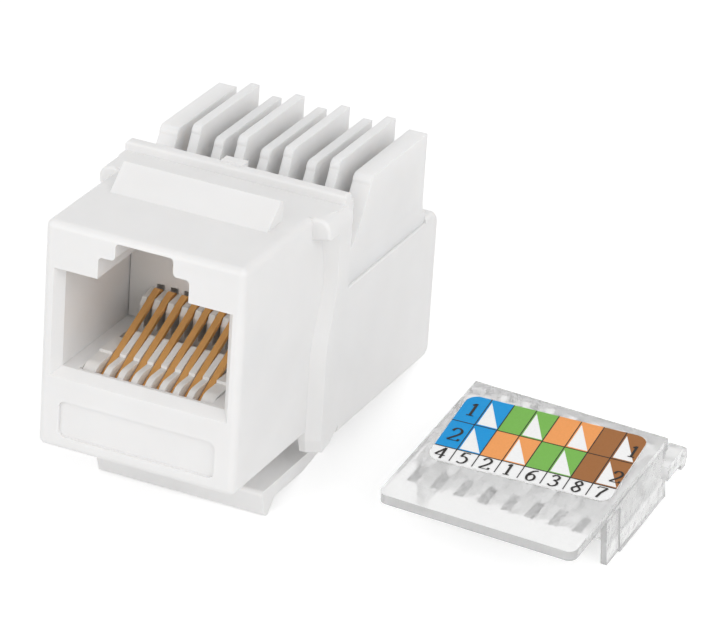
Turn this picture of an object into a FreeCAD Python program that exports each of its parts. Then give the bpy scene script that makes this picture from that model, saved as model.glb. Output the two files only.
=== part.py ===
"""Keystone jack with a single row of insulation-displacement slots and its clear cap.

Millimetres.  X runs across the front face, Y runs into the depth, Z is up.
The jack is drawn with z = 0 on the lower edge of its front body.  On export it is
lowered by PORT_MID_Z, so that the origin lies in the middle of the plug opening,
in the plane of the front face.  The cap is off and lies beside the jack, on the
same table: the jack rests nose-up on its latch tab and the rear edge of its base.
"""
import FreeCAD, Part
import math
import os

V = FreeCAD.Vector
X_AXIS = V(1, 0, 0)
Y_AXIS = V(0, 1, 0)
Z_AXIS = V(0, 0, 1)

# ---------------------------------------------------------------- clearances
FIT = 0.05            # between mouldings that are snapped or glued together
RUN = 0.06            # each side of a contact wire in its comb slot
SINK = 0.5            # how far joined features of one moulding run into each other

# ---------------------------------------------------------------- front body
BODY_W = 14.5
BODY_H = 16.25
BODY_EDGE_R = 0.5     # rounding of the four long edges and of the front rim
FLANGE_W = 16.3
FLANGE_Y0 = 12.6
FLANGE_Y1 = 13.9
FLANGE_FOOT = 1.35    # how far the flange reaches below the body
LIP_H = 0.65          # rim of the flange above the body
LIP_T = 0.9
COLUMN_LOW_Y = 11.15  # front edge of the side columns, low and high
COLUMN_HIGH_Y = 12.2
COLUMN_BEND_Z = 8.0   # height of the middle of the S in the columns
FLANK_RUN = 0.62      # the flank between body side and column, measured along Y
EAR_W = 17.1
EAR_Y0 = 9.7
EAR_Z0 = 14.9
EAR_R = 0.9
CATCH_W = 11.5
CATCH_Y0 = 6.0
CATCH_Y1 = 8.2
CATCH_H = 1.55
PLATE_W = 11.5        # sunk field under the port
PLATE_Z0 = 0.95
PLATE_Z1 = 3.6
PLATE_DEEP = 0.25
PLATE_R = 0.5
SNAP_X = -0.45        # small snap behind the lip
SNAP_W = 1.6
SNAP_H = 0.16

# ---------------------------------------------------------------- plug port
PORT_W = 11.9
PORT_Z0 = 5.8
PORT_Z1 = 13.0
PORT_DEPTH = 10.0
PORT_BEVEL = 0.55
KEY_W1 = 6.6          # wide step for the plug's latch
KEY_Z1 = 14.55
KEY_W2 = 4.2          # narrow notch above it
KEY_Z2 = 15.8
KEY_R = 0.3
PORT_MID_Z = (PORT_Z0 + PORT_Z1) / 2.0
POCKET_W = 9.7        # pocket in the port's floor that takes the contact carrier
POCKET_LEDGE = 0.7
HOLLOW_Y0 = 1.7       # hollow under the carrier
HOLLOW_Z0 = 1.3

# ---------------------------------------------------------------- contacts
CONTACTS = 8
CONTACT_PITCH = 1.02
WIRE_W = 0.46
WIRE_T = 0.30
BEND_Y = 2.0          # axis of the bend that each spring turns about
BEND_Z = 4.5
BEND_R = 0.42
BEAM_ANGLE = 26.5     # first stretch of the spring, above level
BEAM_KNEE_Y = 5.6
TIP_ANGLE = 24.5      # second stretch of the spring, above level
TIP_Y = 9.1
KNEE_R = 8.0
HOOK_R = 0.35
HOOK_L = 0.35
SPLIT_ANGLE = 4.0     # half the gap between a moving spring and its fixed lead
LEAD_Y1 = 15.7        # where the leads turn up into the board, in two rows
LEAD_ROW = 1.27
LEAD_R = 0.5

# ---------------------------------------------------------------- contact carrier
CARRIER_Z0 = 3.4
TONGUE_TOP = 4.7
FINGER_Y0 = 1.0
FINGER_NOSE_Z = 4.9
FINGER_TOP_Y = 2.3
FINGER_TOP_Z = 5.95
FINGER_STEP_Y = 3.6   # small step in the top of each finger
FINGER_STEP = 0.18
FINGER_Y1 = 6.3
FINGER_RISE = 0.75    # how much the inner fingers rise towards the rear
COMB_Y0 = 8.0         # rear guide comb
COMB_Z0 = 7.7
COMB_TOP_Z = 8.4
COMB_END = 0.35       # width of its two outer ribs
SLOT_DEEP = 0.75      # how far the comb slots run into the rear block
SLOT_FLOOR_Z = 6.1
SLOT_ROOF_Z = 8.66

# ---------------------------------------------------------------- rear housing
BASE_Y1 = 28.5
BASE_Z0 = -1.05
SEAM_Z = 9.7
SEAM_EDGE = 0.1       # chamfer each side of the seam under the terminal block
BASE_WALL = 0.8
BASE_FLOOR = 1.45
BASE_EDGE_R = 0.8
SHOULDER_H = 0.35     # raised rim behind the terminal block
SHOULDER_R = 1.1
LEDGE = 0.6           # board supports along the walls

# ---------------------------------------------------------------- circuit board
BOARD_T = 1.0
BOARD_TOP_Z = 8.7
HOLE_R = 0.35

# ---------------------------------------------------------------- terminal block
IDC_PITCH = 1.72
FIN_T = 0.68
CHEEK_T = 1.51        # thickness of the two end fins
CHEEK_FLARE = 0.14    # how far the block's foot stands out beyond them
BLOCK_W = CONTACTS * IDC_PITCH - FIN_T + 2 * CHEEK_T
BLOCK_PLATE = 0.9
BLOCK_Y1 = 26.3
FIN_Y0 = 17.45        # front end of the level tops
FIN_Y1 = 25.85
FIN_TOP = 16.5
FIN_EXTRA = 0.55      # every other fin is taller
FIN_SHOULDER_Y = 0.4
FIN_SHOULDER_Z = 0.55
FIN_FOOT_Y = 15.35
FIN_FOOT_Z = 13.2
FIN_TOE_Z = 11.85
SLOT_BOTTOM_Z = 11.4
BASE_W = BLOCK_W      # the base is flush with the block's foot
BLADE_W = 1.32
BLADE_T = 0.4
BLADE_TOP = 14.7
BLADE_SLIT = 0.36
BLADE_SLIT_Z = 12.3
BLADE_MOUTH = 0.9
BLADE_Y = 20.3        # the blades stand in two rows
BLADE_ROW = 2.6
TAIL_W = 0.44

# ---------------------------------------------------------------- latch arm
ARM_W = 12.5
ARM_PIVOT_Y = 15.0
ARM_PIVOT_DROP = 0.2  # below the base
ARM_ROOT_R = 0.8
ARM_T = 1.1
ARM_BOTTOM = -3.85
ARM_BEND_R = 0.6
TAB_STEP_Y = 8.5
TAB_BACK_Y = 7.6
TAB_EDGE_Y = 7.1
TAB_TOP_Y = 6.4
TAB_BOTTOM = -4.8

# ---------------------------------------------------------------- clear cap
CAP_W = 14.3
CAP_TOP = 4.6
CAP_LIP = 5.2
CAP_LIP_T = 0.75
CAP_BODY = 8.8
CAP_PLATE_T = 0.9
CAP_WALL = 0.6
CAP_R = 0.6
CAP_LEG = 1.7
CAP_LEG_T = 0.45
CAP_RIB_T = 0.7
CAP_RIB_Z = 0.9
CAP_RIB_OUT = 0.7
CAP_HOOK = 2.0
CAP_HOOK_Z = 1.9
CAP_HOOK_T = 1.1
CAP_GUSSET = 2.6      # reach of the ribs under the lip
CAP_X = 21.95         # middle of the cap's body, on the table
CAP_Y = 4.5
CAP_TURN = -2.6       # degrees about the table's upright
LABEL_W = 12.9
LABEL_D = 7.5
LABEL_T = 0.08
LABEL_R = 0.8
LABEL_Y = 3.9
LABEL_SKEW = 4.4      # degrees: the printed label is stuck on slightly askew


# ================================================================ helpers
def box(x0, x1, y0, y1, z0, z1):
    return Part.makeBox(x1 - x0, y1 - y0, z1 - z0, V(x0, y0, z0))


def across(width, y0, y1, z0, z1):
    """A block centred on X."""
    return box(-width / 2.0, width / 2.0, y0, y1, z0, z1)


def face_of(edges):
    return Part.Face(Part.Wire(edges))


def side_profile(points, x0, x1):
    """Straight-edged outline in the YZ plane, extruded from x0 to x1."""
    loop = [V(x0, y, z) for y, z in points]
    loop.append(loop[0])
    return Part.Face(Part.makePolygon(loop)).extrude(V(x1 - x0, 0, 0))


def rounded(shape, radius, keep):
    """Round the edges that keep() picks."""
    edges = [e for e in shape.Edges if keep(e)]
    return shape.makeFillet(radius, edges)


def along(edge, axis):
    """True for a straight edge that runs along axis."""
    if not isinstance(edge.Curve, Part.Line):
        return False
    return abs(abs(edge.tangentAt(edge.FirstParameter).dot(axis)) - 1.0) < 1e-6


def mid(edge):
    return edge.valueAt((edge.FirstParameter + edge.LastParameter) / 2.0)


def mirrored(shape):
    return shape.mirror(V(0, 0, 0), X_AXIS)


def both_sides(shape):
    return [shape, mirrored(shape)]


def contact_x(index):
    return (index - (CONTACTS - 1) / 2.0) * CONTACT_PITCH


def slot_x(index):
    return (index - (CONTACTS - 1) / 2.0) * IDC_PITCH


def polar(y, z, radius, degrees):
    a = math.radians(degrees)
    return V(0, y + radius * math.cos(a), z + radius * math.sin(a))


def strip(path, x, start_dir):
    """A flat wire of WIRE_W by WIRE_T that follows a path in the YZ plane."""
    start = path[0].firstVertex().Point
    normal = X_AXIS.cross(start_dir)
    corners = []
    for sx, sn in ((-1, -1), (1, -1), (1, 1), (-1, 1)):
        corners.append(start + X_AXIS * (sx * WIRE_W / 2.0) + normal * (sn * WIRE_T / 2.0))
    corners.append(corners[0])
    spine = Part.Wire(path)
    solid = spine.makePipeShell([Part.makePolygon(corners)], True, False)
    solid.translate(V(x, 0, 0))
    return solid


def arc(centre, radius, a0, a1):
    """Arc in the YZ plane about centre (y, z), from a0 to a1 degrees."""
    y, z = centre
    middle = polar(y, z, radius, (a0 + a1) / 2.0)
    return Part.Arc(polar(y, z, radius, a0), middle, polar(y, z, radius, a1)).toShape()


def line(p, q):
    return Part.LineSegment(p, q).toShape()


def heading(degrees):
    a = math.radians(degrees)
    return V(0, math.cos(a), math.sin(a))


# ================================================================ front housing
def column_curve(x, run, top_y, z0, z1):
    """Front edge of a side column: upright, then an S to the rear, then forward at the top."""
    low = COLUMN_LOW_Y - run
    high = COLUMN_HIGH_Y - run / 2.0
    z_low = COLUMN_BEND_Z - 2.2
    z_high = COLUMN_BEND_Z + 2.9
    points = [V(x, low, z_low)]
    points.append(V(x, (low + high) / 2.0, COLUMN_BEND_Z + 0.3))
    points.append(V(x, high, z_high))
    points.append(V(x, high - 0.22 * (high - top_y), (z_high + z1) / 2.0))
    points.append(V(x, top_y, z1))
    curve = Part.BSplineCurve()
    curve.interpolate(Points=points, InitialTangent=Z_AXIS, FinalTangent=V(0, top_y - high, 1.8))
    return [line(V(x, low, z0), points[0]), curve.toShape()]


def column_wire(x, run, top_y):
    """Closed outline of a side column in the plane x."""
    z0 = -FLANGE_FOOT + 0.95
    z1 = BODY_H
    front = column_curve(x, run, top_y, z0, z1)
    toe = V(x, COLUMN_LOW_Y - run + 0.3, -FLANGE_FOOT)
    heel = V(x, FLANGE_Y0 + 0.1, -FLANGE_FOOT + 0.3)
    back = V(x, FLANGE_Y1, -FLANGE_FOOT + 1.25)
    low = front[0].firstVertex().Point
    top = V(x, FLANGE_Y1, z1)
    edges = front + [line(V(x, top_y, z1), top), line(top, back), line(back, heel)]
    edges += [line(heel, toe), line(toe, low)]
    return Part.Wire(Part.__sortEdges__(edges))


def side_column():
    """The raised column on the right side, with the slanted flank in front of it."""
    inner_x = BODY_W / 2.0
    outer = column_wire(FLANGE_W / 2.0, 0.0, COLUMN_HIGH_Y - 0.5)
    inner = column_wire(inner_x, FLANK_RUN, EAR_Y0)
    skirt = Part.makeLoft([inner, outer], True, True)
    root = Part.Face(inner).extrude(V(-SINK, 0, 0))
    return skirt.fuse(root)


def ear():
    """Lug at the upper corner, whose front bears on the back of the panel."""
    x0 = BODY_W / 2.0 - SINK
    x1 = EAR_W / 2.0
    z1 = BODY_H
    y = EAR_Y0
    r = EAR_R
    tip = V(x1 - r * (1 - math.cos(math.pi / 4)), y, z1 - r * (1 - math.sin(math.pi / 4)))
    edges = [line(V(x0, y, z1), V(x1 - r, y, z1))]
    edges.append(Part.Arc(V(x1 - r, y, z1), tip, V(x1, y, z1 - r)).toShape())
    edges.append(line(V(x1, y, z1 - r), V(x1, y, EAR_Z0)))
    edges.append(line(V(x1, y, EAR_Z0), V(x0, y, EAR_Z0 - 0.5)))
    edges.append(line(V(x0, y, EAR_Z0 - 0.5), V(x0, y, z1)))
    lug = face_of(edges).extrude(V(0, FLANGE_Y0 - EAR_Y0 + SINK, 0))
    return rounded(lug, 0.25, lambda e: abs(mid(e).y - y) < 1e-6 and mid(e).x > x0 + SINK + 0.3)


def port_cutter():
    """The stepped plug opening, with its bevelled sill."""
    main = across(PORT_W, -1, FLANGE_Y1 + 1, PORT_Z0, PORT_Z1)
    pocket = across(POCKET_W, FINGER_Y0 - FIT, FLANGE_Y1 + 1, CARRIER_Z0 - FIT, PORT_Z0 + SINK)
    hollow = across(POCKET_W - 2 * POCKET_LEDGE, HOLLOW_Y0, FLANGE_Y1 + 1, HOLLOW_Z0, CARRIER_Z0)
    step = across(KEY_W1, -1, PORT_DEPTH, PORT_Z1 - 1, KEY_Z1)
    notch = across(KEY_W2, -1, PORT_DEPTH, PORT_Z1 - 1, KEY_Z2)
    key = step.fuse(notch).removeSplitter()
    key = rounded(key, KEY_R, lambda e: along(e, Y_AXIS) and mid(e).z > PORT_Z1)
    w = PORT_W / 2.0
    b = PORT_BEVEL
    mouth = Part.makePolygon([V(-w - b, 0, PORT_Z0 - b), V(w + b, 0, PORT_Z0 - b),
                              V(w + b, 0, PORT_Z1), V(-w - b, 0, PORT_Z1), V(-w - b, 0, PORT_Z0 - b)])
    throat = Part.makePolygon([V(-w, b + 0.15, PORT_Z0), V(w, b + 0.15, PORT_Z0),
                               V(w, b + 0.15, PORT_Z1), V(-w, b + 0.15, PORT_Z1),
                               V(-w, b + 0.15, PORT_Z0)])
    bevel = Part.makeLoft([mouth, throat], True, True)
    return main.fuse([pocket, hollow, key, bevel])


def sunk_field():
    """Shallow rounded field under the port, left blank."""
    field = across(PLATE_W, -1, PLATE_DEEP, PLATE_Z0, PLATE_Z1)
    return rounded(field, PLATE_R, lambda e: along(e, Y_AXIS))


def front_housing():
    body = across(BODY_W, 0, FLANGE_Y1, 0, BODY_H)
    body = rounded(body, BODY_EDGE_R, lambda e: mid(e).y < FLANGE_Y1 - 0.1)
    flange = across(BODY_W, FLANGE_Y0, FLANGE_Y1, -FLANGE_FOOT + 0.4, BODY_H)
    lip = across(FLANGE_W, FLANGE_Y0, FLANGE_Y0 + LIP_T, BODY_H - SINK, BODY_H + LIP_H)
    lip = rounded(lip, 0.2, lambda e: mid(e).z > BODY_H + LIP_H - 0.01)
    ramp = [(CATCH_Y0, BODY_H - SINK), (CATCH_Y0, BODY_H), (CATCH_Y1 - 0.35, BODY_H + CATCH_H),
            (CATCH_Y1, BODY_H + CATCH_H - 0.15), (CATCH_Y1, BODY_H - SINK)]
    catch = side_profile(ramp, -CATCH_W / 2.0, CATCH_W / 2.0)
    snap = box(SNAP_X - SNAP_W / 2.0, SNAP_X + SNAP_W / 2.0, FLANGE_Y0 + SINK, FLANGE_Y1,
               BODY_H - SINK, BODY_H + LIP_H + SNAP_H)
    pieces = [flange, lip, catch, snap]
    pieces += both_sides(side_column())
    pieces += both_sides(ear())
    whole = body.fuse(pieces).removeSplitter()
    return whole.cut([port_cutter(), sunk_field()]).removeSplitter()


# ================================================================ contacts
def beam_path():
    """Moving half of a contact: front bend, rising beam, knee, and turned-down tip."""
    top = 90.0 + BEAM_ANGLE
    bend = arc((BEND_Y, BEND_Z), BEND_R, 180.0 - SPLIT_ANGLE, top)
    lift = polar(BEND_Y, BEND_Z, BEND_R, top)
    up = heading(BEAM_ANGLE)
    out = heading(TIP_ANGLE)
    knee = lift + up * ((BEAM_KNEE_Y - lift.y) / up.y)
    cut = KNEE_R * math.tan(math.radians((BEAM_ANGLE - TIP_ANGLE) / 2.0))
    k0 = knee - up * cut
    k1 = knee + out * cut
    centre = k0 + X_AXIS.cross(up) * -KNEE_R
    knee_arc = arc((centre.y, centre.z), KNEE_R, 90.0 + BEAM_ANGLE, 90.0 + TIP_ANGLE)
    tip = knee + out * ((TIP_Y - knee.y) / out.y)
    hook_c = tip + X_AXIS.cross(out) * -HOOK_R
    hook = arc((hook_c.y, hook_c.z), HOOK_R, 90.0 + TIP_ANGLE, 10.0)
    end = polar(hook_c.y, hook_c.z, HOOK_R, 10.0)
    return [bend, line(lift, k0), knee_arc, line(k1, tip), hook, line(end, end + heading(-80.0) * HOOK_L)]


def contact(index):
    start = heading(90.0 - SPLIT_ANGLE)
    return strip(beam_path(), contact_x(index), start)


def lead_row_y(index):
    return LEAD_Y1 + (index % 2) * LEAD_ROW


def contact_lead(index):
    """Fixed half of a contact: under the comb, then up through the board."""
    z = BEND_Z - BEND_R
    y1 = lead_row_y(index)
    bend = arc((BEND_Y, BEND_Z), BEND_R, 180.0 + SPLIT_ANGLE, 270.0)
    run = line(V(0, BEND_Y, z), V(0, y1 - LEAD_R, z))
    turn = arc((y1 - LEAD_R, z + LEAD_R), LEAD_R, 270.0, 360.0)
    rise = line(V(0, y1, z + LEAD_R), V(0, y1, BOARD_TOP_Z + 0.3))
    return strip([bend, run, turn, rise], contact_x(index), heading(270.0 + SPLIT_ANGLE))


# ================================================================ contact carrier
def finger_spans():
    """X spans of the comb fingers: one each side of every contact."""
    slot = WIRE_W / 2.0 + RUN
    edge = contact_x(CONTACTS - 1) + slot
    end = POCKET_W / 2.0 - FIT
    spans = [(-end, -edge)]
    for i in range(CONTACTS - 1):
        spans.append((contact_x(i) + slot, contact_x(i + 1) - slot))
    spans.append((edge, end))
    return spans


def finger(x0, x1, rise):
    """One comb finger: bullet nose, small step, and a top that rises to a rounded rear end."""
    y0 = FINGER_Y0
    y1 = FINGER_Y1
    nose_top = V(x0, FINGER_TOP_Y, FINGER_TOP_Z)
    step = FINGER_TOP_Z + FINGER_STEP
    top = step + rise
    nose = Part.Arc(V(x0, y0, FINGER_NOSE_Z),
                    V(x0, y0 + 0.38, FINGER_NOSE_Z + 0.68), nose_top).toShape()
    end = Part.Arc(V(x0, y1 - 0.5, top), V(x0, y1 - 0.15, top - 0.15), V(x0, y1, top - 0.5)).toShape()
    front = [nose_top, V(x0, FINGER_STEP_Y, FINGER_TOP_Z), V(x0, FINGER_STEP_Y + 0.05, step),
             V(x0, y1 - 0.5, top)]
    back = [V(x0, y1, top - 0.5), V(x0, y1, CARRIER_Z0), V(x0, y0, CARRIER_Z0), V(x0, y0, FINGER_NOSE_Z)]
    edges = [nose] + [line(p, q) for p, q in zip(front, front[1:])]
    edges += [end] + [line(p, q) for p, q in zip(back, back[1:])]
    return face_of(edges).extrude(V(x1 - x0, 0, 0))


def contact_carrier():
    """Insert that carries the springs: tongue with comb fingers, and a rear guide comb."""
    width = PORT_W - 2 * FIT
    narrow = POCKET_W - 2 * FIT
    rear = PORT_DEPTH - 0.25
    half = WIRE_W / 2.0 + RUN
    edge = contact_x(CONTACTS - 1) + half
    tongue = across(narrow, BEND_Y + 0.1, rear + SINK, CARRIER_Z0, TONGUE_TOP)
    root = across(narrow, rear, FLANGE_Y1, CARRIER_Z0, PORT_Z0 + SINK)
    block = across(width, rear, FLANGE_Y1, PORT_Z0 + FIT, PORT_Z1 - FIT)
    window = across(2 * edge, FINGER_Y1, COMB_Y0, CARRIER_Z0 - 1, TONGUE_TOP + 1)
    teeth = side_profile([(COMB_Y0, CARRIER_Z0), (COMB_Y0, COMB_Z0), (COMB_Y0 + 0.35, COMB_TOP_Z - 0.2),
                          (rear + SINK, COMB_TOP_Z), (rear + SINK, CARRIER_Z0)],
                         -edge - COMB_END, edge + COMB_END)
    spans = finger_spans()
    fingers = [finger(x0, x1, FINGER_RISE) for x0, x1 in spans[1:-1]]
    fingers += [finger(x0, x1, 0.0) for x0, x1 in (spans[0], spans[-1])]
    solid = tongue.fuse([root, block, teeth] + fingers)
    cuts = [window]
    lead_z = BEND_Z - BEND_R
    reach = WIRE_T / 2.0 + RUN
    for i in range(CONTACTS):
        x = contact_x(i)
        cuts.append(box(x - half, x + half, COMB_Y0 - 1, rear + SLOT_DEEP, SLOT_FLOOR_Z, SLOT_ROOF_Z))
        cuts.append(box(x - half, x + half, 0, FLANGE_Y1 + 1, lead_z - reach, lead_z + reach))
    return solid.removeSplitter().cut(cuts)


# ================================================================ circuit board
def board_outline():
    """Plan limits of the board inside the rear housing."""
    half = BASE_W / 2.0 - BASE_WALL - FIT
    return -half, half, FLANGE_Y1 + FIT + BASE_WALL + FIT, BASE_Y1 - BASE_WALL - FIT


def circuit_board():
    x0, x1, y0, y1 = board_outline()
    z0 = BOARD_TOP_Z - BOARD_T
    board = box(x0, x1, y0, y1, z0, BOARD_TOP_Z)
    holes = []
    for i in range(CONTACTS):
        for x, y in ((contact_x(i), lead_row_y(i)), (slot_x(i), blade_y(i))):
            holes.append(Part.makeCylinder(HOLE_R, BOARD_T + 1, V(x, y, z0 - 0.5)))
    return board.cut(holes)


# ================================================================ terminal block
def blade_y(index):
    return BLADE_Y + (index % 2) * BLADE_ROW


def blade(index):
    """Forked contact that bites through a wire's insulation."""
    x = slot_x(index)
    w = BLADE_W / 2.0
    s = BLADE_SLIT / 2.0
    m = BLADE_MOUTH / 2.0
    t = TAIL_W / 2.0
    foot = BOARD_TOP_Z + FIT
    tail = BOARD_TOP_Z - BOARD_T - 0.3
    right = [(t, tail), (t, foot), (w, foot), (w, BLADE_TOP - 0.2), (w - 0.1, BLADE_TOP), (m, BLADE_TOP),
             (s, BLADE_TOP - 0.9), (s, BLADE_SLIT_Z)]
    left = [(-px, pz) for px, pz in reversed(right)]
    y = blade_y(index) - BLADE_T / 2.0
    loop = [V(x + px, y, pz) for px, pz in right + left]
    loop.append(loop[0])
    return Part.Face(Part.makePolygon(loop)).extrude(V(0, BLADE_T, 0))


def fin(x0, x1, top):
    """One fin: raked front edge that flares towards its toe, small round shoulder, upright back."""
    low = SEAM_Z + BLOCK_PLATE - SINK
    toe = FLANGE_Y1 + FIT
    a = V(x0, FIN_Y0 - FIN_SHOULDER_Y, top - FIN_SHOULDER_Z)
    b = V(x0, FIN_Y0 - FIN_SHOULDER_Y * 0.65, top - FIN_SHOULDER_Z * 0.3)
    c = V(x0, FIN_Y0, top)
    shoulder = Part.Arc(a, b, c).toShape()
    points = [c, V(x0, FIN_Y1, top), V(x0, FIN_Y1, low), V(x0, toe, low), V(x0, toe, FIN_TOE_Z),
              V(x0, FIN_FOOT_Y, FIN_FOOT_Z), a]
    edges = [shoulder] + [line(p, q) for p, q in zip(points, points[1:])]
    return face_of(edges).extrude(V(x1 - x0, 0, 0))


def idc_block():
    """Terminal block: flared foot, nine fins in a row and the seats of the blades."""
    y0 = FLANGE_Y1 + FIT
    half = BLOCK_W / 2.0
    outer = half - CHEEK_FLARE
    z0 = SEAM_Z + FIT
    section = [(half - SEAM_EDGE, z0), (half, z0 + SEAM_EDGE), (half, z0 + 2 * SEAM_EDGE),
               (outer, SLOT_BOTTOM_Z)]
    loop = [V(x, y0, z) for x, z in section] + [V(-x, y0, z) for x, z in reversed(section)]
    loop.append(loop[0])
    foot = Part.Face(Part.makePolygon(loop)).extrude(V(0, FIN_Y1 - y0, 0))
    plate = across(BLOCK_W - 2 * SEAM_EDGE, FIN_Y1 - SINK, BLOCK_Y1, z0, SEAM_Z + BLOCK_PLATE)
    inner = outer - CHEEK_T + CHEEK_FLARE
    fins = [fin(inner, outer, FIN_TOP), fin(-outer, -inner, FIN_TOP)]
    for i in range(CONTACTS - 1):
        x = (slot_x(i) + slot_x(i + 1)) / 2.0
        top = FIN_TOP + FIN_EXTRA * ((i + 1) % 2)
        fins.append(fin(x - FIN_T / 2.0, x + FIN_T / 2.0, top))
    solid = foot.fuse(fins + [plate]).removeSplitter()
    seats = []
    for i in range(CONTACTS):
        x = slot_x(i)
        y = blade_y(i)
        w = BLADE_W / 2.0 + FIT
        t = BLADE_T / 2.0 + FIT
        seats.append(box(x - w, x + w, y - t, y + t, SEAM_Z - 1, BLADE_TOP + FIT))
    return solid.cut(seats)


# ================================================================ rear housing
def rear_housing():
    """Base moulding behind the flange: a tub that holds the board, closed by the block."""
    y0 = FLANGE_Y1 + FIT
    tub = across(BASE_W, y0, BASE_Y1, BASE_Z0, SEAM_Z)
    shoulder = across(BASE_W, BLOCK_Y1 + FIT, BASE_Y1, SEAM_Z - SINK, SEAM_Z + SHOULDER_H)
    tub = tub.fuse(shoulder).removeSplitter()
    tub = rounded(tub, SHOULDER_R, lambda e: along(e, X_AXIS) and mid(e).y > BASE_Y1 - 0.1
                  and mid(e).z > SEAM_Z)
    tub = rounded(tub, BASE_EDGE_R, lambda e: along(e, X_AXIS) and mid(e).y > BASE_Y1 - 0.1
                  and mid(e).z < 0)
    tub = rounded(tub, 0.35, lambda e: along(e, Z_AXIS) and mid(e).y > BASE_Y1 - 0.1)
    loop = [V(BASE_W / 2.0 - SEAM_EDGE, y0 - 1, SEAM_Z), V(BASE_W / 2.0, y0 - 1, SEAM_Z - SEAM_EDGE),
            V(BASE_W, y0 - 1, SEAM_Z), V(BASE_W / 2.0 - SEAM_EDGE, y0 - 1, SEAM_Z)]
    bevel = Part.Face(Part.makePolygon(loop)).extrude(V(0, BLOCK_Y1 + FIT - y0 + 1, 0))
    half = BASE_W / 2.0 - BASE_WALL
    floor = BASE_Z0 + BASE_FLOOR
    back = BASE_Y1 - BASE_WALL
    front = y0 + BASE_WALL
    well = box(-half + LEDGE, half - LEDGE, front, back, floor, SEAM_Z + 1)
    seat = box(-half, half, front, back, BOARD_TOP_Z - BOARD_T - FIT, SEAM_Z + 1)
    roof = across(BASE_W + 1, back - 2 * BASE_WALL, BASE_Y1 + 1, SEAM_Z + FIT, SEAM_Z + 1)
    seat = seat.cut(roof)
    well = well.cut(roof)
    z = BEND_Z - BEND_R
    window = across(2 * contact_x(CONTACTS - 1) + 2 * WIRE_W, y0 - 1, front + 1, z - 1, z + 1)
    groove = Part.makeCylinder(ARM_ROOT_R + RUN, ARM_W + 4 * RUN,
                               V(-ARM_W / 2.0 - 2 * RUN, ARM_PIVOT_Y, arm_pivot_z()), X_AXIS)
    return tub.cut([well, seat, window, groove] + both_sides(bevel)).removeSplitter()


# ================================================================ latch arm
def arm_pivot_z():
    return BASE_Z0 - ARM_PIVOT_DROP


def latch_arm():
    """Panel latch: root below the base, arm forward under the body, stepped tab at its end."""
    x = -ARM_W / 2.0
    z1 = ARM_BOTTOM + ARM_T
    py = ARM_PIVOT_Y
    ri = ARM_BEND_R
    ro = ri + ARM_T
    back = py + ARM_T / 2.0
    front = py - ARM_T / 2.0
    c = math.cos(math.pi / 4)
    outer = Part.Arc(V(x, back, ARM_BOTTOM + ro), V(x, back - ro * (1 - c), ARM_BOTTOM + ro * (1 - c)),
                     V(x, back - ro, ARM_BOTTOM)).toShape()
    inner = Part.Arc(V(x, front - ri, z1), V(x, front - ri * (1 - c), z1 + ri * (1 - c)),
                     V(x, front, z1 + ri)).toShape()
    under = [V(x, back - ro, ARM_BOTTOM), V(x, TAB_STEP_Y, ARM_BOTTOM), V(x, TAB_BACK_Y, TAB_BOTTOM),
             V(x, TAB_EDGE_Y, TAB_BOTTOM), V(x, TAB_TOP_Y, z1), V(x, front - ri, z1)]
    edges = [outer] + [line(p, q) for p, q in zip(under, under[1:])] + [inner]
    top = arm_pivot_z()
    edges += [line(V(x, front, z1 + ri), V(x, front, top)), line(V(x, front, top), V(x, back, top)),
              line(V(x, back, top), V(x, back, ARM_BOTTOM + ro))]
    arm = Part.Face(Part.Wire(Part.__sortEdges__(edges))).extrude(V(ARM_W, 0, 0))
    root = Part.makeCylinder(ARM_ROOT_R, ARM_W, V(x, py, top), X_AXIS)
    arm = arm.fuse(root).removeSplitter()
    return rounded(arm, 0.3, lambda e: along(e, X_AXIS) and mid(e).y < TAB_STEP_Y - 1.2)


# ================================================================ table under the jack
def table_angle():
    """Slope of the table, seen from the jack: tangent to the tab and to the rear round."""
    dy = BASE_Y1 - BASE_EDGE_R - TAB_BACK_Y
    dz = BASE_Z0 + BASE_EDGE_R - TAB_BOTTOM
    return math.atan2(dz, dy) - math.asin(BASE_EDGE_R / math.hypot(dy, dz))


def on_table(shape):
    """Place a piece, drawn level about its own origin, on the table beside the jack."""
    shape.rotate(V(0, 0, 0), Z_AXIS, CAP_TURN)
    shape.translate(V(CAP_X, CAP_Y, 0))
    shape.rotate(V(0, 0, 0), X_AXIS, math.degrees(table_angle()))
    shape.translate(V(0, TAB_BACK_Y, TAB_BOTTOM))
    return shape


# ================================================================ clear cap
def cap_side():
    """Right wall of the cap, with its leg in front and its snap hook behind."""
    x1 = CAP_W / 2.0
    wall = box(x1 - CAP_WALL, x1, CAP_LEG, CAP_BODY - 0.3, 0, CAP_TOP - CAP_PLATE_T + SINK)
    leg = box(x1 - CAP_WALL, x1 - CAP_WALL + CAP_LEG_T, 0, CAP_LEG + SINK, 0, CAP_TOP - CAP_PLATE_T + SINK)
    y0 = CAP_BODY - 1.0
    y1 = CAP_BODY + CAP_HOOK
    z0 = CAP_HOOK_Z
    arm = [(y0, z0), (y1, z0), (y1, z0 + CAP_HOOK_T * 0.6), (y1 - 0.4, z0 + CAP_HOOK_T), (y0, z0 + CAP_HOOK_T)]
    hook = side_profile(arm, x1 - CAP_WALL, x1 + 0.5)
    barb = side_profile([(y1 - 0.9, z0 - 0.5), (y1 - 0.3, z0 - 0.5), (y1, z0 + 0.2), (y1 - 0.9, z0 + 0.2)],
                        x1 - CAP_WALL, x1 + 0.5)
    return wall.fuse([leg, hook, barb])


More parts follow.
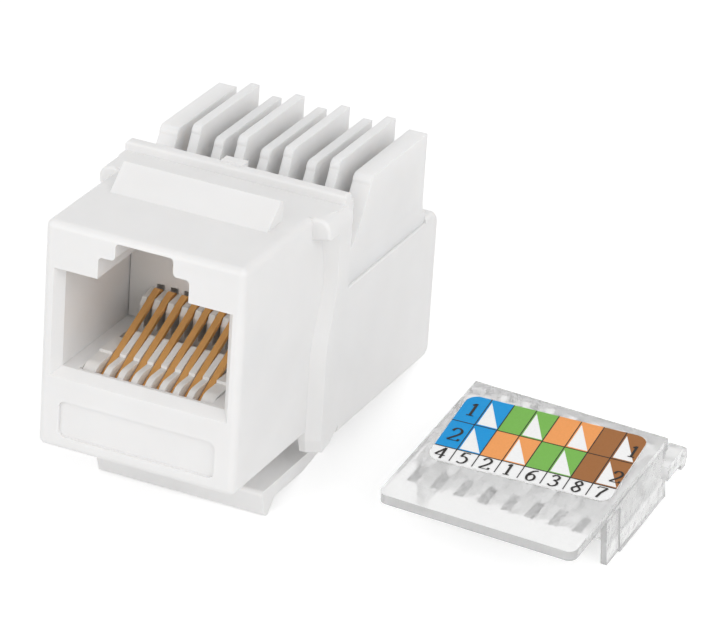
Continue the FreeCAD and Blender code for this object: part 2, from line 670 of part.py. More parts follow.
def stuffer_cap():
    """Clear cap: top plate with a press lip, ribs that push the wires home, and side walls."""
    top = across(CAP_W, -0.4, CAP_BODY, CAP_TOP - CAP_PLATE_T, CAP_TOP)
    lip = across(CAP_W, -CAP_LIP, SINK, CAP_TOP - CAP_LIP_T, CAP_TOP)
    lip = rounded(lip, CAP_R, lambda e: along(e, Z_AXIS) and mid(e).y < 0)
    pieces = [lip] + both_sides(cap_side())
    under = CAP_TOP - CAP_PLATE_T + SINK
    for i in range(CONTACTS):
        x = slot_x(i)
        t = CAP_RIB_T / 2.0
        rib = side_profile([(0.5, CAP_RIB_Z + 0.7), (1.2, CAP_RIB_Z), (CAP_BODY - 0.4, CAP_RIB_Z),
                            (CAP_BODY + CAP_RIB_OUT, CAP_RIB_Z + 1.2), (CAP_BODY + CAP_RIB_OUT, under - 0.35),
                            (CAP_BODY - 0.5, under), (0.5, under)], x - t, x + t)
        gap_y = blade_y(i) - FIN_Y0 + 0.4
        gap = box(x - t - 1, x + t + 1, gap_y - BLADE_T, gap_y + BLADE_T, -1, CAP_TOP - CAP_PLATE_T - 0.6)
        pieces.append(rib.cut(gap))
        pieces.append(side_profile([(-CAP_GUSSET, CAP_TOP - CAP_LIP_T), (0.6, CAP_RIB_Z + 0.75),
                                    (0.6, under), (-CAP_GUSSET, CAP_TOP - CAP_LIP_T + 0.1)], x - t, x + t))
    return on_table(top.fuse(pieces).removeSplitter())


def wiring_label():
    """Printed label on top of the cap."""
    sheet = across(LABEL_W, LABEL_Y - LABEL_D / 2.0, LABEL_Y + LABEL_D / 2.0, CAP_TOP, CAP_TOP + LABEL_T)
    sheet = rounded(sheet, LABEL_R, lambda e: along(e, Z_AXIS))
    sheet.rotate(V(0, LABEL_Y, 0), Z_AXIS, LABEL_SKEW)
    return on_table(sheet)


# ================================================================ export
def export(name, shape):
    shape.translate(V(0, 0, -PORT_MID_Z))
    if not shape.isValid() or len(shape.Solids) != 1:
        print("CHECK", name, "valid", shape.isValid(), "solids", len(shape.Solids))
    shape.exportStep("parts/" + name + ".step")
    bb = shape.BoundBox
    print("%-18s %6.2f %6.2f | %6.2f %6.2f | %6.2f %6.2f | %8.3f mm3" % (
        name, bb.XMin, bb.XMax, bb.YMin, bb.YMax, bb.ZMin, bb.ZMax, shape.Volume))


def main():
    os.makedirs("parts", exist_ok=True)
    export("front_housing", front_housing())
    export("latch_arm", latch_arm())
    export("contact_carrier", contact_carrier())
    for i in range(CONTACTS):
        export("contact_%d" % (i + 1), contact(i))
        export("contact_lead_%d" % (i + 1), contact_lead(i))
        export("idc_blade_%d" % (i + 1), blade(i))
    export("circuit_board", circuit_board())
    export("idc_block", idc_block())
    export("rear_housing", rear_housing())
    export("stuffer_cap", stuffer_cap())
    export("wiring_label", wiring_label())
    print("table slope %.2f degrees" % math.degrees(table_angle()))


main()
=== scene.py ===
# %% [markdown]
# # A keystone jack and its clear cap
# A keystone jack is a small white moulding that snaps into a wall plate.  A network plug goes into
# its stepped port, where eight sprung wires touch it.  Behind, a row of fins holds eight wires over
# forked blades.  The clear cap that presses them home lies beside it.
# The solid shapes come from the imported model, so this file only dresses them: it gives each piece
# its finish, prints the wiring label, and sets the table, the light and the camera.
# The first step is to load the imported model, without moving it.

# %% Load the imported model
import bpy
import math
from mathutils import Matrix, Vector


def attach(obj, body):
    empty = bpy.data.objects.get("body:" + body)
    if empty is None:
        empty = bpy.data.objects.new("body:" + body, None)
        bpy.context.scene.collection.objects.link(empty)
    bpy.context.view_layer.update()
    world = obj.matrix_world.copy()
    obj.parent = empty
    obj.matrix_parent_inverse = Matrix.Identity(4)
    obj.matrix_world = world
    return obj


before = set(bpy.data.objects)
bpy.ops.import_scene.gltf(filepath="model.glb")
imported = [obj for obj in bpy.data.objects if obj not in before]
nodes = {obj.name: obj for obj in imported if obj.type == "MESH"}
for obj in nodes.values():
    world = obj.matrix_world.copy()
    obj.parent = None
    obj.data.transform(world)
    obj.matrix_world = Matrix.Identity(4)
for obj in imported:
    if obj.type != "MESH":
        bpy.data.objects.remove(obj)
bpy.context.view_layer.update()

MM = 0.001      # the scene is in metres
print("nodes loaded:", len(nodes))

# %% [markdown]
# ## The table
# The jack stands nose up: it rests on the tab of its latch and on the rear edge of its base, while
# the model's own axes follow the jack.  So in these axes the table slopes.  It could be measured by
# hand, but then it would be wrong as soon as the jack changed.  It is found from the mesh instead:
# the line through the lowest point of the latch that just touches the base from below.

# %% Find the slope of the table
REST_SPAN = 5 * MM      # the table meets the base at least this far behind the tab


def side_view(name):
    """The (y, z) of every vertex of a node."""
    return [(v.co.y, v.co.z) for v in nodes[name].data.vertices]


# the lowest point of the tab, and of several the rearmost
tab_y, tab_z = min(side_view("latch_arm"), key=lambda p: (round(p[1], 6), -p[0]))
slope = min(math.atan2(z - tab_z, y - tab_y)
            for y, z in side_view("rear_housing") if y > tab_y + REST_SPAN)
table_up = Vector((0, -math.sin(slope), math.cos(slope)))
table_point = Vector((0, tab_y, tab_z))
print("table slope: %.2f degrees through y %.2f, z %.2f mm"
      % (math.degrees(slope), tab_y / MM, tab_z / MM))

# %% [markdown]
# ## Camera
# A product picture is taken from well back with a long lens, so that parallel edges stay nearly
# parallel.  The camera could be pointed with a Track To constraint, but a small roll is wanted too.
# Its three axes are therefore worked out from azimuth, elevation and roll and set as a matrix.

# %% Set up the camera
AZIMUTH = math.radians(23.99)
ELEVATION = math.radians(25.52)
ROLL = math.radians(3.88)
CAMERA_AT = Vector((131.68, -261.13, 141.98)) * MM
LENS_MM = 251.0
SENSOR_MM = 36.0


def camera_axes(azimuth, elevation, roll):
    """Right, up and back of a camera that looks down its own -Z."""
    back = Vector((math.sin(azimuth) * math.cos(elevation),
                   -math.cos(azimuth) * math.cos(elevation),
                   math.sin(elevation)))
    level = Vector((math.cos(azimuth), math.sin(azimuth), 0))
    upright = back.cross(level)
    right = level * math.cos(roll) + upright * math.sin(roll)
    up = upright * math.cos(roll) - level * math.sin(roll)
    return right, up, back


camera_data = bpy.data.cameras.new("camera")
camera_data.lens = LENS_MM
camera_data.sensor_width = SENSOR_MM
camera_data.clip_start = 0.01
camera_data.clip_end = 10.0
camera = bpy.data.objects.new("camera", camera_data)
bpy.context.scene.collection.objects.link(camera)
turn = Matrix(camera_axes(AZIMUTH, ELEVATION, ROLL)).transposed()
camera.matrix_world = Matrix.Translation(CAMERA_AT) @ turn.to_4x4()
bpy.context.scene.camera = camera
print("camera %.0f mm from the origin, lens %.0f mm" % (CAMERA_AT.length / MM, LENS_MM))

# %% [markdown]
# ## Building materials from nodes
# Every finish of the jack is a Principled BSDF with a few nodes in front of it.  Image textures
# would tie the look to a picture and to a UV map, so noise is used: it needs no unwrapping, and its
# scale is given in features per millimetre, which is how a moulder would think of a grain.
# A few small helpers keep the later cells short.  One starts a material, one adds noise, three let
# the noise gently vary the colour, the roughness or the height, and one dresses the pieces.

# %% Helpers for materials
NOISE_LOW, NOISE_HIGH = 0.3, 0.7    # most noise values lie between these


def start_material(name, colour, roughness, metallic=0.0):
    """A material with a Principled BSDF; returns (material, its node tree, the shader)."""
    material = bpy.data.materials.new(name)
    material.use_nodes = True
    tree = material.node_tree
    shader = tree.nodes["Principled BSDF"]
    shader.inputs["Base Color"].default_value = (*colour, 1)
    shader.inputs["Roughness"].default_value = roughness
    shader.inputs["Metallic"].default_value = metallic
    return material, tree, shader


def add_noise(tree, per_mm, detail=2.0, stretch=(1, 1, 1)):
    """Noise with about per_mm features in a millimetre; stretch makes it longer along an axis."""
    place = tree.nodes.new("ShaderNodeTexCoord")
    scale = tree.nodes.new("ShaderNodeMapping")
    scale.inputs["Scale"].default_value = [per_mm / MM / s for s in stretch]
    noise = tree.nodes.new("ShaderNodeTexNoise")
    noise.inputs["Scale"].default_value = 1.0
    noise.inputs["Detail"].default_value = detail
    tree.links.new(place.outputs["Object"], scale.inputs["Vector"])
    tree.links.new(scale.outputs["Vector"], noise.inputs["Vector"])
    return noise


def vary_colour(tree, shader, noise, colour, dark, light):
    """Let the colour wander between dark and light times itself."""
    ramp = tree.nodes.new("ShaderNodeValToRGB")
    ends = ((NOISE_LOW, dark), (NOISE_HIGH, light))
    for end, (position, share) in zip(ramp.color_ramp.elements, ends):
        end.position = position
        end.color = (*(c * share for c in colour), 1)
    tree.links.new(noise.outputs["Fac"], ramp.inputs["Fac"])
    tree.links.new(ramp.outputs["Color"], shader.inputs["Base Color"])


def vary_roughness(tree, shader, noise, low, high):
    ramp = tree.nodes.new("ShaderNodeMapRange")
    ramp.inputs["From Min"].default_value = NOISE_LOW
    ramp.inputs["From Max"].default_value = NOISE_HIGH
    ramp.inputs["To Min"].default_value = low
    ramp.inputs["To Max"].default_value = high
    tree.links.new(noise.outputs["Fac"], ramp.inputs["Value"])
    tree.links.new(ramp.outputs["Result"], shader.inputs["Roughness"])


def add_grain(tree, shader, noise, height_mm):
    bump = tree.nodes.new("ShaderNodeBump")
    bump.inputs["Strength"].default_value = 1.0
    bump.inputs["Distance"].default_value = height_mm * MM
    tree.links.new(noise.outputs["Fac"], bump.inputs["Height"])
    tree.links.new(bump.outputs["Normal"], shader.inputs["Normal"])


def dress(names, material):
    """Give CAD nodes a material in place of the plain one they came with."""
    for name in names:
        slots = nodes[name].data.materials
        slots.clear()
        slots.append(material)
    print(material.name, "on", len(names), "node(s)")


print("noise is read from %.1f to %.1f" % (NOISE_LOW, NOISE_HIGH))

# %% [markdown]
# ## White moulded plastic
# The front housing, the latch, the terminal block and the base are one white plastic.  It is
# satin: light slides over it softly, and a very fine grain from the mould keeps it from looking
# like porcelain.  A flat white would look like paper, so the colour wanders a little over a few
# millimetres, the roughness over about one, and the fine grain is a bump.  The inner fins are less
# than a millimetre thick, and some light wanders right through them.  Subsurface scattering does
# that and makes the gaps lighter.  Elsewhere it would only blur the seams and edges, so the other
# pieces get very little of it.
# The insert in the port is moulded by itself.  Its white is painted a shade warmer and darker, as
# painted shade for the depth of the port, and its finish is duller.

# %% Make the white plastic
WHITE = (0.875, 0.869, 0.865)
# painted shade: the insert deep in the port is made darker and warmer than WHITE to stand in for the
# shade there
CARRIER_SHADED_WHITE = (0.86, 0.845, 0.825)
WANDER_MM = 0.2         # how far light wanders in a thick wall
FIN_WANDER_MM = 1.3     # and in the fins


def white_plastic(name, colour, roughness, depth_mm):
    """Satin white plastic in which light wanders about depth_mm before it comes out again."""
    material, tree, shader = start_material(name, colour, roughness)
    clouds = add_noise(tree, per_mm=0.25, detail=3.0)
    vary_colour(tree, shader, clouds, colour, dark=0.985, light=1.015)
    vary_roughness(tree, shader, add_noise(tree, per_mm=0.9), roughness - 0.05, roughness + 0.06)
    add_grain(tree, shader, add_noise(tree, per_mm=11.0, detail=3.0), height_mm=0.004)
    shader.inputs["Specular IOR Level"].default_value = 0.45
    shader.inputs["Subsurface Weight"].default_value = 0.4 + 0.35 * depth_mm
    shader.inputs["Subsurface Scale"].default_value = depth_mm * MM
    shader.inputs["Subsurface Radius"].default_value = (1.0, 0.95, 0.9)
    return material


housing_white = white_plastic("housing_white", WHITE, 0.36, WANDER_MM)
dress(["front_housing", "latch_arm", "rear_housing"], housing_white)
fin_white = white_plastic("fin_white", WHITE, 0.36, FIN_WANDER_MM)
dress(["idc_block"], fin_white)
# the insert gets the white with the painted shade of the deep port
carrier_white = white_plastic("carrier_white", CARRIER_SHADED_WHITE, 0.42, WANDER_MM)
dress(["contact_carrier"], carrier_white)

# %% [markdown]
# ## Metal
# The spring contacts are drawn wire with a thin gold plating: a warm metal with faint lines along
# the wire.  The forked blades are stamped and tinned, so they are pale, and duller where the tin
# has wetted unevenly.  The tin is a full metal, so its base colour is the colour of the reflection
# itself.  The gold is only partly one: there is little to mirror inside the port, so a full metal
# comes out darker there, while this way the wires keep some colour of their own.

# %% Make the metals
GOLD = (0.93, 0.50, 0.17)
TIN = (0.70, 0.69, 0.67)
EIGHT = range(1, 9)

spring_gold, tree, shader = start_material("spring_gold", GOLD, 0.3, metallic=0.6)
drawn_lines = add_noise(tree, per_mm=9.0, stretch=(0.5, 12, 4))
vary_colour(tree, shader, drawn_lines, GOLD, dark=0.97, light=1.03)
vary_roughness(tree, shader, drawn_lines, low=0.3, high=0.36)
dress(["contact_%d" % i for i in EIGHT] + ["contact_lead_%d" % i for i in EIGHT], spring_gold)

blade_tin, tree, shader = start_material("blade_tin", TIN, 0.35, metallic=1.0)
tin_clouds = add_noise(tree, per_mm=1.6, detail=4.0)
vary_colour(tree, shader, tin_clouds, TIN, dark=0.86, light=1.1)
vary_roughness(tree, shader, tin_clouds, low=0.26, high=0.48)
dress(["idc_blade_%d" % i for i in EIGHT], blade_tin)

# %% [markdown]
# ## Circuit board
# The board hides inside the base.  Its green solder mask is a glossy lacquer over a woven glass
# laminate, so the weave shows as a faint height change below the gloss.

# %% Make the board
MASK_GREEN = (0.03, 0.22, 0.09)
board_green, tree, shader = start_material("board_green", MASK_GREEN, 0.3)
vary_colour(tree, shader, add_noise(tree, per_mm=0.8), MASK_GREEN, dark=0.85, light=1.15)
vary_roughness(tree, shader, add_noise(tree, per_mm=2.0), low=0.24, high=0.36)
add_grain(tree, shader, add_noise(tree, per_mm=4.0, stretch=(3, 1, 1)), height_mm=0.004)
dress(["circuit_board"], board_green)

# %% [markdown]
# ## Clear polycarbonate
# The cap is clear, so what is seen is the light that bends through its ribs.  Alpha would only thin
# it out evenly, while transmission bends the light as the real plastic does.  The plastic's own
# index of refraction is 1.585; it is set lower here, because at that value the cap comes out a
# little greyer.  A share of plain white stands for the haze of the moulding, and a soft, wide bump
# for the waviness of its faces.

# %% Make the clear plastic
CLEAR = (0.995, 0.995, 0.993)
clear_plastic, tree, shader = start_material("clear_plastic", CLEAR, 0.1)
shader.inputs["Transmission Weight"].default_value = 0.72
shader.inputs["IOR"].default_value = 1.3
vary_roughness(tree, shader, add_noise(tree, per_mm=0.8), low=0.03, high=0.1)
add_grain(tree, shader, add_noise(tree, per_mm=1.1, detail=4.0), height_mm=0.09)
dress(["stuffer_cap"], clear_plastic)

# %% [markdown]
# ## Label
# The label is a thin white film printed with inks.  The film is a CAD node and only gets its
# finish.  Each ink is its own material, so that the print can be real geometry laid on the film:
# it then stays sharp from any distance, where a texture would need a picture.

# %% Make the film and the inks
INK_ROUGHNESS = 0.42


def ink(name, colour):
    material, tree, shader = start_material(name, colour, INK_ROUGHNESS)
    vary_colour(tree, shader, add_noise(tree, per_mm=7.0), colour, dark=0.97, light=1.02)
    patches = add_noise(tree, per_mm=3.0)
    vary_roughness(tree, shader, patches, INK_ROUGHNESS - 0.05, INK_ROUGHNESS + 0.08)
    shader.inputs["Specular IOR Level"].default_value = 0.25
    return material


film_white = ink("film_white", (0.97, 0.97, 0.97))
dress(["wiring_label"], film_white)
INKS = {
    "blue": ink("ink_blue", (0.0, 0.32, 0.74)),
    "green": ink("ink_green", (0.20, 0.50, 0.085)),
    "orange": ink("ink_orange", (0.93, 0.37, 0.11)),
    "brown": ink("ink_brown", (0.37, 0.145, 0.04)),
    "black": ink("ink_black", (0.025, 0.022, 0.02)),
}
print("inks:", ", ".join(INKS))

# %% [markdown]
# To print on the film, its place must be known.  The film is stuck on a little askew, on a cap that
# lies on a sloping table, so its own directions are read from its mesh.  Its top is the plane of
# its largest upward triangle.  The direction of its long side is the one in which a rectangle
# around the outline is smallest, so every direction up to ten degrees askew is tried.

# %% Find the film's own directions
MOST_ASKEW = 10.0       # degrees to either side
ASKEW_STEP = 0.05
SAME_PLANE = 0.01 * MM


def film_axes(mesh):
    """The middle of the film's top, its directions across, inward and normal, its width and depth."""
    top = max((p for p in mesh.polygons if p.normal.z > 0.5), key=lambda p: p.area)
    normal = top.normal.copy()
    level = top.center.dot(normal)
    rim = [v.co for v in mesh.vertices if abs(v.co.dot(normal) - level) < SAME_PLANE]
    steps = round(MOST_ASKEW / ASKEW_STEP)
    smallest = None
    for step in range(-steps, steps + 1):
        angle = math.radians(step * ASKEW_STEP)
        across = Vector((math.cos(angle), math.sin(angle), 0))
        across = (across - normal * across.dot(normal)).normalized()
        inward = normal.cross(across)
        us = [p.dot(across) for p in rim]
        vs = [p.dot(inward) for p in rim]
        area = (max(us) - min(us)) * (max(vs) - min(vs))
        if smallest is None or area < smallest:
            smallest = area
            best = (across, inward, us, vs)
    across, inward, us, vs = best
    centre = across * (max(us) + min(us)) / 2 + inward * (max(vs) + min(vs)) / 2 + normal * level
    return centre, across, inward, normal, max(us) - min(us), max(vs) - min(vs)


film = nodes["wiring_label"].data
film_centre, film_across, film_inward, film_normal, film_w, film_d = film_axes(film)
width_mm, depth_mm = film_w / MM, film_d / MM
print("film %.2f by %.2f mm" % (width_mm, depth_mm))

# %% [markdown]
# Each printed area is a very thin closed prism.  A flat face would do for a picture, but a closed
# solid also has sound normals when the model is exported.  The helper takes outlines in millimetres
# from the film's front left corner and lifts them by the thickness of the ink.

# %% Helper that lays ink on the film
INK_T = 0.012       # thickness of the ink in mm


def film_point(u, v, lift):
    """The point (u, v) mm from the film's front left corner and lift mm above it."""
    return (film_centre + film_across * (u * MM - film_w / 2) + film_inward * (v * MM - film_d / 2)
            + film_normal * (lift * MM))


def lay_ink(name, prints, base=0.0):
    """prints is a list of (ink, outline); each outline runs anticlockwise seen from above."""
    vertices, faces, inks, used = [], [], [], []
    for colour, outline in prints:
        if colour not in used:
            used.append(colour)
        first, count = len(vertices), len(outline)
        vertices += [film_point(u, v, base) for u, v in outline]
        vertices += [film_point(u, v, base + INK_T) for u, v in outline]
        lower = list(range(first, first + count))
        upper = [i + count for i in lower]
        around = zip(lower, lower[1:] + lower[:1], upper[1:] + upper[:1], upper)
        faces += [*around, tuple(upper), tuple(reversed(lower))]
        inks += [used.index(colour)] * (count + 2)
    mesh = bpy.data.meshes.new(name)
    mesh.from_pydata(vertices, [], faces)
    for colour in used:
        mesh.materials.append(INKS[colour])
    mesh.polygons.foreach_set("material_index", inks)
    piece = bpy.data.objects.new(name, mesh)
    bpy.context.scene.collection.objects.link(piece)
    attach(piece, "jack")
    print(name, "-", len(prints), "printed areas")


print("ink is %.3f mm thick" % INK_T)

# %% [markdown]
# The label is the wiring chart: eight columns, one for each slot, two rows of pair colours for the
# two ways of wiring, and a row of terminal numbers.  A striped wire is shown as a white triangle in
# its colour.  The colours are held in two short lists, so a loop can print all sixteen cells.

# %% Print the colour chart
COLUMNS = 8
NUMBER_ROW = 0.197      # top of the row of numbers, as a share of the film's depth
ROW_LINE = 0.593        # and the line between the two rows of colours
CHART_ROWS = [          # mark, colours of its four pairs, lower edge, upper edge
    ("1", ["blue", "green", "orange", "brown"], ROW_LINE, 1.0),
    ("2", ["blue", "orange", "green", "brown"], NUMBER_ROW, ROW_LINE),
]
CORNER_MM = 0.8         # the film's own corners are rounded by as much
CORNER_POINTS = 5
STRIPE_LEFT, STRIPE_RIGHT = 0.07, 0.97      # the white triangle, in shares of its cell
STRIPE_FOOT, STRIPE_BELOW_TOP = 0.05, 0.1
column_mm = width_mm / COLUMNS


def rounded_corner(cu, cv, start):
    """Points of a quarter circle about (cu, cv), from start degrees."""
    angles = [math.radians(start + 90 / (CORNER_POINTS - 1) * i) for i in range(CORNER_POINTS)]
    return [(cu + CORNER_MM * math.cos(a), cv + CORNER_MM * math.sin(a)) for a in angles]


def cell_outline(column, v0, v1):
    """A cell, rounded where it is one of the film's rear corners."""
    u0, u1 = column * column_mm, (column + 1) * column_mm
    outline = [(u0, v0), (u1, v0)]
    rear = math.isclose(v1, depth_mm)
    if rear and column == COLUMNS - 1:
        outline += rounded_corner(u1 - CORNER_MM, v1 - CORNER_MM, 0)
    else:
        outline.append((u1, v1))
    if rear and column == 0:
        outline += rounded_corner(u0 + CORNER_MM, v1 - CORNER_MM, 90)
    else:
        outline.append((u0, v1))
    return outline


def around_stripe(column, v0, v1):
    """The three areas of ink that leave a triangle of the film bare."""
    rim = cell_outline(column, v0, v1)
    left_u, right_u = [column * column_mm + share * column_mm for share in (STRIPE_LEFT, STRIPE_RIGHT)]
    foot = v0 + STRIPE_FOOT * (v1 - v0)
    left, right = (left_u, foot), (right_u, foot)
    apex = (left_u, v1 - STRIPE_BELOW_TOP * (v1 - v0))
    return [[rim[0], left, apex, rim[-1]], [apex, right, *rim[1:]], [rim[0], rim[1], right, left]]


colour_cells = []
for _, pairs, low, high in CHART_ROWS:
    for column in range(COLUMNS):
        place = (column, low * depth_mm, high * depth_mm)
        striped = column % 2 == 1
        outlines = around_stripe(*place) if striped else [cell_outline(*place)]
        colour_cells += [(pairs[column // 2], outline) for outline in outlines]
lay_ink("chart_colours", colour_cells)

# %% [markdown]
# Thin black lines part the cells.  They could be drawn as edges, but an edge has no width in a
# render, so each one is a narrow bar of ink.  They lie one layer above the colours, because two
# inks at one height would flicker.

# %% Rule the lines
LINE_MM = 0.07
LINE_FOOT_MM = 0.12     # the upright lines stop short of the film's front edge


def bar(u0, v0, u1, v1):
    return ("black", [(u0, v0), (u1, v0), (u1, v1), (u0, v1)])


half_line = LINE_MM / 2
lines = []
for share in (NUMBER_ROW, ROW_LINE):
    v = share * depth_mm
    lines.append(bar(0, v - half_line, width_mm, v + half_line))
for column in range(1, COLUMNS):
    u = column * column_mm
    lines.append(bar(u - half_line, LINE_FOOT_MM, u + half_line, depth_mm))
lay_ink("chart_lines", lines, base=INK_T)

# %% [markdown]
# Plain numbers name the terminals and the two rows.  Blender's text objects come in one plain face
# only.  Printed numerals of this sort have thick uprights and thin curves, as from a broad pen, so
# each number is a pen path instead, given as the few points that the pen passes.

# %% Pen paths of the numerals
PEN_BOX_H = 1.6
PEN = {   # paths in a box 1 wide and PEN_BOX_H high, several strokes each
    "1": [[(0.25, 1.3), (0.5, 1.58), (0.5, 0.0)], [(0.22, 0.02), (0.8, 0.02)]],
    "2": [[(0.1, 1.2), (0.25, 1.52), (0.55, 1.58), (0.82, 1.3), (0.72, 0.85), (0.08, 0.06)],
          [(0.08, 0.06), (0.9, 0.06), (0.95, 0.3)]],
    "3": [[(0.1, 1.32), (0.4, 1.58), (0.76, 1.4), (0.7, 1.0), (0.38, 0.86)],
          [(0.38, 0.86), (0.8, 0.66), (0.82, 0.26), (0.45, 0.0), (0.08, 0.2)]],
    "4": [[(0.68, 0.0), (0.68, 1.58)], [(0.68, 1.58), (0.05, 0.48)], [(0.05, 0.48), (0.98, 0.48)]],
    "5": [[(0.88, 1.56), (0.32, 1.56)], [(0.32, 1.56), (0.2, 0.95)],
          [(0.2, 0.95), (0.55, 1.0), (0.84, 0.7), (0.76, 0.22), (0.42, 0.0), (0.08, 0.14)]],
    "6": [[(0.85, 1.55), (0.42, 1.3), (0.15, 0.7), (0.25, 0.15), (0.55, 0.0), (0.85, 0.28),
           (0.8, 0.72), (0.5, 0.92), (0.2, 0.66)]],
    "7": [[(0.08, 1.3), (0.14, 1.52), (0.92, 1.52)], [(0.92, 1.52), (0.55, 0.75), (0.4, 0.0)]],
    "8": [[(0.5, 0.86), (0.2, 1.2), (0.5, 1.58), (0.8, 1.2), (0.5, 0.86), (0.14, 0.42), (0.5, 0.0),
           (0.86, 0.42), (0.5, 0.86)]],
}
print("pen paths:", sum(len(paths) for paths in PEN.values()), "for the numbers", " ".join(PEN))

# %% [markdown]
# The pen's straight runs would show their corners, so a Catmull-Rom curve is laid through the
# points of the longer paths.  The ribbon that the pen leaves is widest where the path runs up or
# down the sheet, as with a nib held level.

# %% Helpers that turn a pen path into ribbons
THIN_PEN = 0.07
BROAD_PEN = 0.2
INK_SPREAD = 0.01       # what the ink adds on each side
CURVE_STEPS = 6         # points for each run of the curve


def smooth(path):
    """Points on a Catmull-Rom curve through the path's points; a short path stays as it is."""
    if len(path) < 4:
        return path
    ends = [path[0]] + path + [path[-1]]
    points = []
    for a, b, c, d in zip(ends, ends[1:], ends[2:], ends[3:]):
        for i in range(CURVE_STEPS):
            t = i / CURVE_STEPS
            points.append(tuple(
                0.5 * (2 * q + (r - p) * t + (2 * p - 5 * q + 4 * r - s) * t * t
                       + (3 * q - p - 3 * r + s) * t ** 3)
                for p, q, r, s in zip(a, b, c, d)))
    return points + [path[-1]]


def pen_strokes(figure, u, v, height):
    """Ribbons of one numeral; (u, v) is its lower left corner on the film."""
    size = height / PEN_BOX_H
    strokes = []
    for path in PEN[figure]:
        points = [Vector(p) for p in smooth(path)]
        ways = [(b - a).normalized() for a, b in zip(points, points[1:])]
        ways.append(ways[-1])
        edges = []
        for point, way in zip(points, ways):
            half = (THIN_PEN + (BROAD_PEN - THIN_PEN) * abs(way.y)) / 2 + INK_SPREAD
            side = Vector((-way.y, way.x)) * half
            edges.append((point + side, point - side))
        for (a1, a0), (b1, b0) in zip(edges, edges[1:]):
            strokes.append(("black", [(u + p.x * size, v + p.y * size) for p in (a0, b0, b1, a1)]))
    return strokes


print("pen %.2f to %.2f of a numeral's width" % (THIN_PEN, BROAD_PEN))

# %% [markdown]
# The terminals don't run in order, so their numbers are held in one string and a loop sets each in
# its column.  The mark of each row is printed on its first column and again on its last, there a
# little smaller and lower.

# %% Print the numerals
TERMINALS = "45216387"
TERMINAL_AT = 0.26      # share of the column to the left of the number
TERMINAL_FOOT_MM = 0.15
TERMINAL_MM = 1.2
ROW_MARKS = [           # place in columns, mm below the row's middle, height in mm
    (0.28, 0.7, 1.4),
    (COLUMNS - 0.5, 0.9, 1.25),
]

numerals = []
for column, figure in enumerate(TERMINALS):
    numerals += pen_strokes(figure, (column + TERMINAL_AT) * column_mm, TERMINAL_FOOT_MM, TERMINAL_MM)
for mark, _, low, high in CHART_ROWS:
    middle = (low + high) / 2 * depth_mm
    for columns, below, height in ROW_MARKS:
        numerals += pen_strokes(mark, columns * column_mm, middle - below, height)
lay_ink("chart_numerals", numerals, base=2 * INK_T)

# %% [markdown]
# ## Table, backdrop and light
# The table is one large plane, laid along the slope found above.  Seen by the camera it is white
# and keeps the darkest of the shadow, where the jack touches it.  Through the clear cap and in
# reflections it is white too, or the cap's own shadow would turn it grey.  To everything else it
# is a plain pale surface, so it lights the jack from below as a real table does.  Its back is
# clear, so a low view isn't blocked by it.  All of this is mixing one shader with another, by a
# number or by the kind of ray that arrives, so three helpers come first.

# %% Helpers that mix shaders
def mix_shaders(tree, share, first, second):
    """first with a share of second; share is a number or the output that gives it."""
    mix = tree.nodes.new("ShaderNodeMixShader")
    if isinstance(share, float):
        mix.inputs["Fac"].default_value = share
    else:
        tree.links.new(share, mix.inputs["Fac"])
    tree.links.new(first, mix.inputs[1])
    tree.links.new(second, mix.inputs[2])
    return mix.outputs[0]


def swap_for(tree, rays, plain, other):
    """A shader that is plain to most rays and other to the rays named."""
    path = tree.nodes.new("ShaderNodeLightPath")
    factor = path.outputs[rays[0]]
    for ray in rays[1:]:
        either = tree.nodes.new("ShaderNodeMath")
        either.operation = "MAXIMUM"
        tree.links.new(factor, either.inputs[0])
        tree.links.new(path.outputs[ray], either.inputs[1])
        factor = either.outputs[0]
    print(", ".join(rays), "swapped")
    return mix_shaders(tree, factor, plain, other)


def add_white(tree, kind, strength):
    """A white light of one kind of node: an emission or a background."""
    light = tree.nodes.new(kind)
    light.inputs["Color"].default_value = (1, 1, 1, 1)
    light.inputs["Strength"].default_value = strength
    return light.outputs[0]


print("shader helpers ready")

# %% [markdown]
# The paint of the table is put together from these.  The glow is plain white light, mixed with the
# matt paint in fixed shares, so the shadow of the jack still falls on it.

# %% Mix the table's paint
TABLE_GREY = 0.92
EYE_GLOW = 2.0          # strength of the glow in what the camera sees
EYE_MATT = 0.75         # share of matt paint in what the camera sees
THROUGH_CAP = 0.94      # how bright the table is through the cap and in reflections

table_paint = bpy.data.materials.new("table_paint")
table_paint.use_nodes = True
tree = table_paint.node_tree
tree.nodes.clear()
output = tree.nodes.new("ShaderNodeOutputMaterial")
matt = tree.nodes.new("ShaderNodeBsdfDiffuse")
matt.inputs["Color"].default_value = (TABLE_GREY, TABLE_GREY, TABLE_GREY, 1)
glow = add_white(tree, "ShaderNodeEmission", EYE_GLOW)
paper = mix_shaders(tree, EYE_MATT, glow, matt.outputs[0])
front = swap_for(tree, ["Is Camera Ray"], matt.outputs[0], paper)
in_cap = add_white(tree, "ShaderNodeEmission", THROUGH_CAP)
front = swap_for(tree, ["Is Glossy Ray", "Is Transmission Ray"], front, in_cap)
clear = tree.nodes.new("ShaderNodeBsdfTransparent")
facing = tree.nodes.new("ShaderNodeNewGeometry")
one_sided = mix_shaders(tree, facing.outputs["Backfacing"], front, clear.outputs[0])
tree.links.new(one_sided, output.inputs["Surface"])

# %% [markdown]
# It lies a hair below the points that it was fitted to, so that rounding doesn't make it cut into
# the jack.

# %% Lay the table
TABLE_HALF = 1.5        # metres, so that its edges are out of the picture
TABLE_DROP = 0.01 * MM

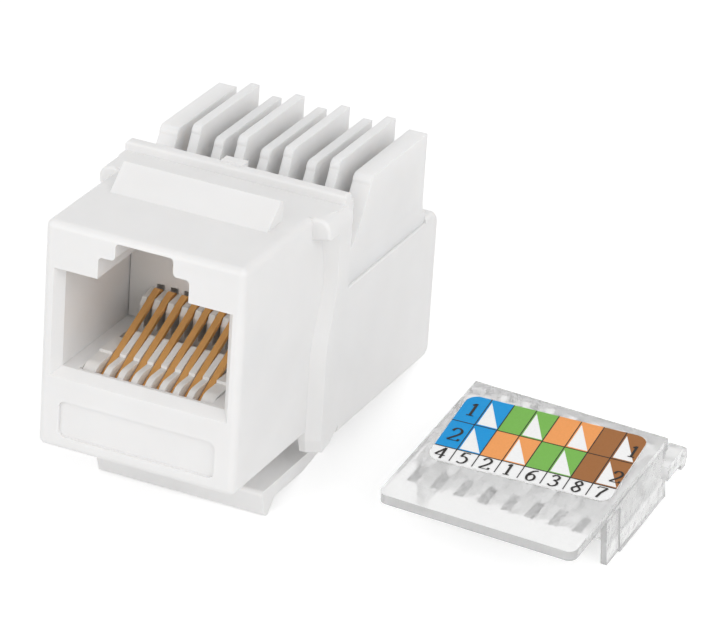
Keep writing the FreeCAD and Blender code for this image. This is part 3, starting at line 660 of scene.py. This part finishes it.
table_side = Vector((1, 0, 0))
table_deep = table_up.cross(table_side)
corners = [table_point + table_side * (sx * TABLE_HALF) + table_deep * (sy * TABLE_HALF)
           - table_up * TABLE_DROP
           for sx, sy in ((-1, -1), (1, -1), (1, 1), (-1, 1))]
table_mesh = bpy.data.meshes.new("table")
table_mesh.from_pydata(corners, [], [(0, 1, 2, 3)])
table_mesh.materials.append(table_paint)
table = bpy.data.objects.new("table", table_mesh)
bpy.context.scene.collection.objects.link(table)
print("table laid, normal", [round(c, 3) for c in table_up])

# %% [markdown]
# The light is that of a small light tent: soft from every side, with two broad lamps that give the
# faces their different tones.  The world gives the even part.  The camera also sees it behind the
# table, and the cap bends and mirrors it, so to those rays it is plain white.

# %% Hang the tent
TENT_LIGHT = 0.7
BACKDROP = 1.0

world = bpy.data.worlds.new("tent")
bpy.context.scene.world = world
world.use_nodes = True
tree = world.node_tree
tree.nodes.clear()
output = tree.nodes.new("ShaderNodeOutputWorld")
tent = add_white(tree, "ShaderNodeBackground", TENT_LIGHT)
backdrop = add_white(tree, "ShaderNodeBackground", BACKDROP)
seen = swap_for(tree, ["Is Camera Ray", "Is Glossy Ray", "Is Transmission Ray"], tent, backdrop)
tree.links.new(seen, output.inputs["Surface"])

# %% [markdown]
# The key lamp stands low in front, a little to the left, for the face with the port.  The fill lamp
# stands higher on the right, and reaches the port's left wall and the gaps of the fins.  Area lamps
# are used because a point or a sun would cut hard shadows into the port.

# %% Set up the lamps
LAMP_SIZE = 0.3         # metres
LAMPS_POINT_AT = (8, 10, 0)     # mm


def area_lamp(name, place_mm, power):
    data = bpy.data.lights.new(name, "AREA")
    data.size = LAMP_SIZE
    data.energy = power
    lamp = bpy.data.objects.new(name, data)
    bpy.context.scene.collection.objects.link(lamp)
    place = Vector(place_mm) * MM
    lamp.location = place
    lamp.rotation_mode = "QUATERNION"
    lamp.rotation_quaternion = (Vector(LAMPS_POINT_AT) * MM - place).to_track_quat("-Z", "Y")
    print(name, "at", place_mm, "mm,", power, "W")


area_lamp("key", place_mm=(-180, -370, 120), power=0.36)
area_lamp("fill", place_mm=(330, -170, 240), power=0.5)
bpy.context.scene.view_settings.view_transform = "Standard"
